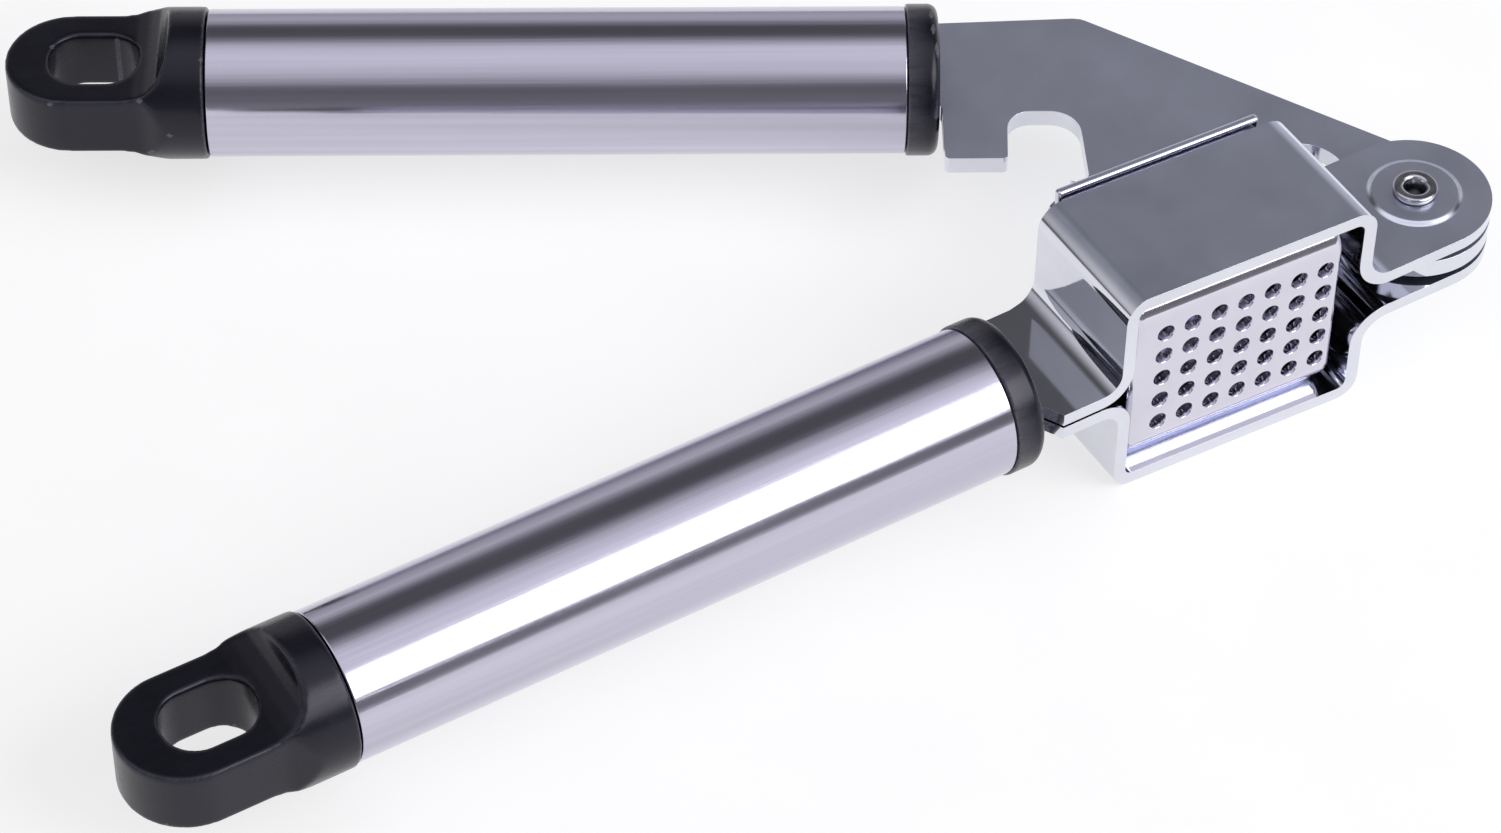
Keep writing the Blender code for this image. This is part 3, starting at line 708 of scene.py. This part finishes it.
def collar(axis_v, slot_half_thick):
    rim = arc((COLLAR_FACE_U + COLLAR_RIM_R, MOULDED_R - COLLAR_RIM_R), COLLAR_RIM_R, 180.0, 90.0, 14)
    shoulder = TUBE_START_U - END_GAP
    profile = [(COLLAR_FACE_U, 0.0)] + rim
    profile += [(shoulder - 0.25, MOULDED_R), (shoulder - 0.07, MOULDED_R - 0.07),
                (shoulder, MOULDED_R - 0.25), (shoulder, SPIGOT_R),
                (COLLAR_SPIGOT_END_U - 0.8, SPIGOT_R),
                (COLLAR_SPIGOT_END_U, SPIGOT_R - 0.8), (COLLAR_SPIGOT_END_U, 0.0)]
    body = turned(profile, axis_v=axis_v)
    half_width = TANG_HALF_WIDTH + FIT
    body = cut(body, box((COLLAR_FACE_U - 1.0, COLLAR_SPIGOT_END_U + 1.0),
                         (axis_v - half_width, axis_v + half_width), (-slot_half_thick, slot_half_thick)))
    body = cut(body, rod(TANG_PIN_R + FIT, (-12.0, 12.0), (TANG_PIN_U, axis_v), 24))
    return soften(body, 0.22, 2, 50.0)


def tang_pin(axis_v):
    profile = [(-7.4, 0.0), (-7.4, TANG_PIN_R - 0.3), (-7.1, TANG_PIN_R),
               (7.1, TANG_PIN_R), (7.4, TANG_PIN_R - 0.3), (7.4, 0.0)]
    return turned(profile, centre=(TANG_PIN_U, axis_v), steps=32)


def cap_outline(axis_v):
    upper = [(140.0, 10.5), (FLARE_START_U, 10.5), (FLARE_START_U, MOULDED_R)]
    for i in range(1, 15):
        share = i / 14.0
        blend = 0.5 - 0.5 * math.cos(math.pi * share)
        half_width = MOULDED_R + (TONGUE_HALF_WIDTH - MOULDED_R) * blend
        upper.append((FLARE_START_U + FLARE_LENGTH * share, half_width))
    tip_centre = CAP_TIP_U - TONGUE_HALF_WIDTH
    tip = arc((tip_centre, 0.0), TONGUE_HALF_WIDTH, 90.0, -90.0, 64)
    lower = [(u, -v) for u, v in upper[::-1]]
    return [(u, v + axis_v) for u, v in upper + tip + lower]


def end_cap(axis_v):
    """Moulded end with a flat tongue; a hollow scoop leads from the round part down to each flat."""
    start = TUBE_END_U + END_GAP
    profile = [
        (CAP_SPIGOT_START_U, 6.2), (CAP_SPIGOT_START_U, SPIGOT_R - 0.8), (CAP_SPIGOT_START_U + 0.8, SPIGOT_R),
        (start, SPIGOT_R), (start, MOULDED_R), (CAP_TIP_U + 2.0, MOULDED_R), (CAP_TIP_U + 2.0, 0.0),
        (154.5, 0.0), (154.5, 6.2),
    ]
    body = turned(profile, axis_v=axis_v, steps=160)
    body = keep(body, prism(cap_outline(axis_v), -11.0, 11.0))
    for side in (-1, 1):
        scoop = [(u, side * z) for u, z in SCOOP]
        scoop += [(CAP_TIP_U + 3.0, side * TONGUE_HALF_THICK), (CAP_TIP_U + 3.0, side * 13.0)]
        body = cut(body, prism(scoop, axis_v - 13.0, axis_v + 13.0, "uzv"))
    near, far = SLOT_CENTRE_U - 0.5 * SLOT_LENGTH, SLOT_CENTRE_U + 0.5 * SLOT_LENGTH
    front, rear = axis_v - 0.5 * SLOT_WIDTH, axis_v + 0.5 * SLOT_WIDTH
    slot = rounded([(near, front, SLOT_CORNER_R), (far, front, SLOT_CORNER_R),
                    (far, rear, SLOT_CORNER_R), (near, rear, SLOT_CORNER_R)], 16)
    body = cut(body, prism(slot, -11.0, 11.0))
    return mould(body, 0.20, 26)


# -------------------------------------------------------- arm and plunger
def pin_on_frame(swing_deg):
    turn = math.radians(HEAD_TURN_DEG + swing_deg)
    c, s = math.cos(turn), math.sin(turn)
    return (PLUNGER_PIN_S * c - PLUNGER_PIN_W * s, PLUNGER_PIN_S * s + PLUNGER_PIN_W * c)


def arm_outline():
    pin_u, pin_v = pin_on_frame(-CLOSED_DEG)
    neck = TANG_HALF_WIDTH
    slope = math.degrees(math.atan2(35.86 - 12.1, 39.9 - 1.04))
    outline = [(TANG_END_U, ARM_AXIS_V + neck), (58.5, ARM_AXIS_V + neck), (58.4, ARM_AXIS_V + neck + 0.5)]
    outline += [(58.4, 35.05), (40.6, 35.9), (39.6, 35.75), (38.9, 35.4)]
    outline += arc((0.0, 0.0), LOBE_R, 90.0 + slope, 398.5, 90)
    outline += arc((13.5, 6.05), 5.87, 179.0, 0.0, 40)
    outline += arc((pin_u, pin_v), BLADE_LOBE_R, 226.0, 322.0, 24)
    outline += rounded([
        (40.2, 3.4, 1.5), (41.0, 18.2, 4.0), (50.1, 18.2, 3.2), (50.45, 9.46, 0.6), (58.4, 9.46, 0.6),
        (58.4, 17.5, 0.0)], 14)
    outline += [(58.4, ARM_AXIS_V - neck - 0.5), (58.5, ARM_AXIS_V - neck), (TANG_END_U, ARM_AXIS_V - neck)]
    return outline


def arm_plate():
    plate = prism(arm_outline(), -ARM_HALF_THICK, ARM_HALF_THICK)
    soften(plate, 0.25, 3, 40.0)
    plate = cut(plate, rod(PIVOT_R + FIT, (-3.0, 3.0), (0.0, 0.0)))
    plate = cut(plate, rod(PLUNGER_PIN_R + FIT, (-3.0, 3.0), pin_on_frame(-CLOSED_DEG), 32))
    return cut(plate, rod(TANG_PIN_R + FIT, (-3.0, 3.0), (TANG_PIN_U, ARM_AXIS_V), 24))


def plunger():
    face = -PLUNGER_DEPTH
    back = face + PLUNGER_PLATE
    half_height = PLUNGER_HALF_HEIGHT
    section = rounded([(face, -half_height, 1.9), (face, half_height, 1.9),
                       (back, half_height, 0.0), (back, -half_height, 0.0)])
    body = prism(section, -PLUNGER_HALF_LENGTH, PLUNGER_HALF_LENGTH, "vzu")
    inner_z = ARM_HALF_THICK + 0.4
    for side in (-1, 1):
        cheek = [(-9.0, back - 0.5), (9.0, back - 0.5), (9.0, back + 0.6)]
        cheek += arc((0.0, 0.0), 3.6, 25.0, 155.0, 24)
        cheek += [(-9.0, back + 0.6)]
        z_range = sorted((side * inner_z, side * (inner_z + PLUNGER_CHEEK)))
        body = add(body, prism(cheek, z_range[0], z_range[1]))
        wall = [(-6.0, back - 0.5), (6.0, back - 0.5), (4.0, back + 2.6), (-4.0, back + 2.6)]
        z_range = sorted((side * half_height, side * (half_height - PLUNGER_CHEEK)))
        body = add(body, prism(wall, z_range[0], z_range[1]))
    soften(body, 0.15, 2, 40.0)
    return cut(body, rod(PLUNGER_PIN_R + FIT, (-5.0, 5.0), (0.0, 0.0), 32))


def plunger_pin():
    seat = ARM_HALF_THICK + 0.4 + PLUNGER_CHEEK + 0.15
    half = [(seat, PLUNGER_PIN_R), (seat, 2.6)]
    half += [(z, r) for r, z in arc((0.0, seat - 3.3), 4.2, 51.0, 90.0, 10)]
    half[-1] = (seat + 0.9, 0.0)
    profile = [(-z, r) for z, r in half[::-1]] + half
    return turned(profile, centre=(0.0, 0.0), steps=48)


# --------------------------------------------------------------- assembly
def build_frame():
    for side, tag in ((1, "upper"), (-1, "lower")):
        place(side_strip(side), "strip_" + tag, "frame", ["side_strip_" + tag], "strip_steel", STRIP)
        place(pivot_shim(side), "shim_" + tag, "frame", ["pivot_shim_" + tag], "rivet_steel", RIVET)
    place(basket(), "basket_cup", "frame", ["garlic_basket"], "basket_steel", SHEET, HEAD_TURN_DEG)
    place(pivot_rivet(), "rivet_hollow", "frame", ["pivot_rivet"], "rivet_steel", RIVET)
    tube = slide(handle_tube(FRAME_AXIS_V), FRAME_REACH)
    place(tube, "tube_frame", "frame", ["frame_handle_tube"], "tube_steel", TUBE)
    ring = slide(collar(FRAME_AXIS_V, TANG_MID_Z + 0.5 * STRIP_THICK + FIT), FRAME_REACH)
    place(ring, "collar_frame", "frame", ["frame_collar"], "cap_plastic", PLASTIC)
    pin = slide(tang_pin(FRAME_AXIS_V), FRAME_REACH)
    place(pin, "pin_frame", "frame", ["frame_tang_pin"], "rivet_steel", RIVET)
    cap = slide(end_cap(FRAME_AXIS_V), FRAME_REACH)
    place(cap, "cap_frame", "frame", ["frame_end_cap"], "cap_plastic", PLASTIC, weighted=False)


def build_arm():
    turn = OPEN_DEG
    place(arm_plate(), "plate_arm", "arm", ["press_arm_plate"], "strip_steel", ARM_PLATE, turn)
    place(handle_tube(ARM_AXIS_V), "tube_arm", "arm", ["arm_handle_tube"], "tube_steel", ARM_TUBE, turn)
    ring = collar(ARM_AXIS_V, ARM_HALF_THICK + FIT)
    place(ring, "collar_arm", "arm", ["arm_collar"], "cap_plastic", ARM_PLASTIC, turn)
    place(tang_pin(ARM_AXIS_V), "pin_arm", "arm", ["arm_tang_pin"], "rivet_steel", RIVET, turn)
    cap = end_cap(ARM_AXIS_V)
    place(cap, "cap_arm", "arm", ["arm_end_cap"], "cap_plastic", ARM_PLASTIC, turn, weighted=False)


def build_plunger():
    swing = OPEN_DEG - CLOSED_DEG
    pin = pin_on_frame(swing)
    lean = HEAD_TURN_DEG + (1.0 + SWING_RATIO) * swing
    place(plunger(), "plunger_plate", "plunger_head", ["plunger"], "basket_steel", SHEET, lean, pin)
    place(plunger_pin(), "pin_plunger", "plunger_head", ["plunger_pin"], "rivet_steel", RIVET, lean, pin)


# ------------------------------------------------------------------ stage
def floor():
    bm = bmesh.new()
    rings = []
    for radius in (0.0, 0.3, 0.8, 2.0, 5.0):
        circle = arc((0.0, 0.0), radius, 0.0, 360.0, 48)[:-1]
        rings.append([bm.verts.new((x, y, 0.0)) for x, y in circle])
    for near, far in zip(rings, rings[1:]):
        for k in range(48):
            m = (k + 1) % 48
            bm.faces.new((near[k], far[k], far[m], near[m]))
    bmesh.ops.remove_doubles(bm, verts=bm.verts[:], dist=1e-6)
    obj = solid_from(bm)
    obj.name = "studio_floor"
    obj.data.materials.append(floor_paper())


def floor_paper():
    """White paper that also glows a little, so that shadows stay faint."""
    n = Nodes("studio_floor_paper")
    n.shader.inputs["Roughness"].default_value = 0.9
    n.shader.inputs["Specular IOR Level"].default_value = 0.1
    n.shader.inputs["Emission Color"].default_value = (1.0, 1.0, 1.0, 1.0)
    n.shader.inputs["Emission Strength"].default_value = FLOOR_GLOW
    grain = n.noise(n.coords((1.0, 1.0, 1.0)), 40.0, 3.0, 0.5)
    return n.finish(n.ramp(grain, [(0.3, (0.37, 0.37, 0.37)), (0.7, (0.39, 0.39, 0.39))]))


def area_light(name, target, direction, distance, size, power):
    data = bpy.data.lights.new(name, "AREA")
    data.shape = "RECTANGLE"
    data.size, data.size_y = size
    data.energy = power
    obj = bpy.data.objects.new(name, data)
    bpy.context.scene.collection.objects.link(obj)
    away = Vector(direction).normalized()
    obj.location = Vector(target) + away * distance
    obj.rotation_mode = "QUATERNION"
    obj.rotation_quaternion = away.to_track_quat("Z", "Y")


def sky_ramp(tree, factor, stops):
    ramp = tree.nodes.new("ShaderNodeValToRGB")
    ramp.color_ramp.interpolation = "EASE"
    set_stops(ramp.color_ramp, [(degrees / 180.0, (level, level, 1.06 * level)) for degrees, level in stops])
    tree.links.new(factor, ramp.inputs["Fac"])
    return ramp.outputs["Color"]


def studio_world():
    """Soft studio room in one gradient over the press: dim near wall, light ceiling, dark gap
    beyond the ceiling light, grey far wall. What shows behind the table is plain white."""
    world = bpy.data.worlds.new("studio")
    bpy.context.scene.world = world
    world.use_nodes = True
    tree = world.node_tree
    coords = tree.nodes.new("ShaderNodeTexCoord")
    toward_viewer = tree.nodes.new("ShaderNodeVectorMath")
    toward_viewer.operation = "DOT_PRODUCT"
    toward_viewer.inputs[1].default_value = VIEWER_SIDE
    split = tree.nodes.new("ShaderNodeSeparateXYZ")
    angle = tree.nodes.new("ShaderNodeMath")
    angle.operation = "ARCTAN2"
    share = tree.nodes.new("ShaderNodeMath")
    share.operation = "DIVIDE"
    share.inputs[1].default_value = math.pi
    tree.links.new(coords.outputs["Generated"], toward_viewer.inputs[0])
    tree.links.new(coords.outputs["Generated"], split.inputs["Vector"])
    tree.links.new(split.outputs["Z"], angle.inputs[0])
    tree.links.new(toward_viewer.outputs["Value"], angle.inputs[1])
    tree.links.new(angle.outputs["Value"], share.inputs[0])
    room = tree.nodes["Background"]
    tree.links.new(sky_ramp(tree, share.outputs["Value"], STUDIO_ROOM), room.inputs["Color"])
    room.inputs["Strength"].default_value = WORLD_LEVEL
    backdrop = tree.nodes.new("ShaderNodeBackground")
    backdrop.inputs["Color"].default_value = (1.0, 1.0, 1.0, 1.0)
    path = tree.nodes.new("ShaderNodeLightPath")
    mix = tree.nodes.new("ShaderNodeMixShader")
    tree.links.new(path.outputs["Is Camera Ray"], mix.inputs["Fac"])
    tree.links.new(room.outputs["Background"], mix.inputs[1])
    tree.links.new(backdrop.outputs["Background"], mix.inputs[2])
    tree.links.new(mix.outputs["Shader"], tree.nodes["World Output"].inputs["Surface"])


def studio():
    floor()
    studio_world()
    area_light("key_softbox", (0.0, 0.0, 0.0), KEY_DIRECTION, KEY_DISTANCE, KEY_SIZE, KEY_POWER)


def camera():
    data = bpy.data.cameras.new("view")
    data.lens = CAMERA_LENS
    data.sensor_width = 36.0
    data.shift_x, data.shift_y = CAMERA_SHIFT
    data.clip_start = 0.01
    data.clip_end = 20.0
    obj = bpy.data.objects.new("view", data)
    bpy.context.scene.collection.objects.link(obj)
    heading = math.radians(CAMERA_HEADING_DEG)
    down = math.radians(CAMERA_DOWN_DEG)
    roll = math.radians(CAMERA_ROLL_DEG)
    level = math.cos(down)
    forward = Vector((math.sin(heading) * level, math.cos(heading) * level, -math.sin(down)))
    right = Vector((math.cos(heading), -math.sin(heading), 0.0))
    up = right.cross(forward)
    tilted_right = right * math.cos(roll) + up * math.sin(roll)
    tilted_up = up * math.cos(roll) - right * math.sin(roll)
    turn = Matrix((tilted_right, tilted_up, -forward)).transposed().to_4x4()
    obj.matrix_world = Matrix.Translation(PIVOT + Vector(CAMERA_FROM_PIVOT)) @ turn
    bpy.context.scene.camera = obj


build_frame()
build_arm()
build_plunger()
studio()
camera()
bpy.context.scene.view_settings.view_transform = "Standard"

bpy.context.view_layer.update()
